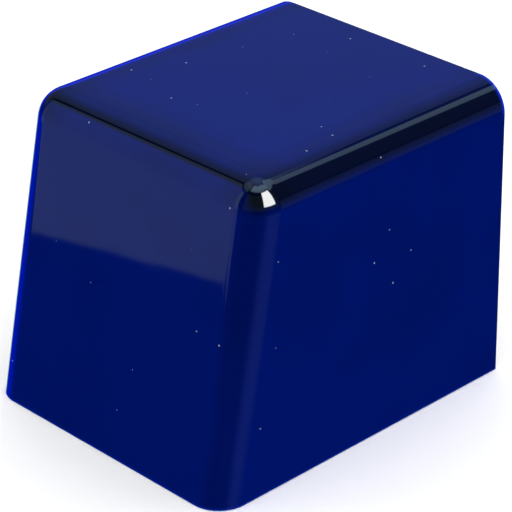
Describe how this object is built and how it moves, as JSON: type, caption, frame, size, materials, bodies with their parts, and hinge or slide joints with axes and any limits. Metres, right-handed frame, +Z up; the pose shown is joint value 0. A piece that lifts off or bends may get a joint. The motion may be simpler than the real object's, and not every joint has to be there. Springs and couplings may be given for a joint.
{
  "type": "cue chalk cube with cover",
  "caption": "Pressed cue chalk cube in a paper label, standing on a small tray with an upright back under a glossy dark blue lift-off cover with a leaning front.",
  "frame": {"origin": "middle of the foot of the cover, on the surface that it stands on", "axes": "+Z up, -Y towards the leaning front face, +Y towards the flat upright back, +X to the right seen from the front"},
  "size_m": [0.0266, 0.0316, 0.0256],
  "materials": {
    "cover_plastic": "high gloss, tinted clear",
    "chalk": "powdery matt",
    "label_paper": "coated paper, satin",
    "base_paper": "plain uncoated paper",
    "tray_plastic": "fine matt texture",
    "pad_rubber": "matt foam rubber"
  },
  "bodies": {
    "base": {"base_tray": "tray_plastic", "non_slip_pad": "pad_rubber", "chalk_block": "chalk", "side_label": "label_paper", "base_label": "base_paper"},
    "cover": {"cover_shell": "cover_plastic"}
  },
  "joints": [
    {"name": "cover_lift", "type": "slide", "parent": "base", "child": "cover", "axis": [0, 0, 1], "range_m": [0, 0.028]}
  ]
}
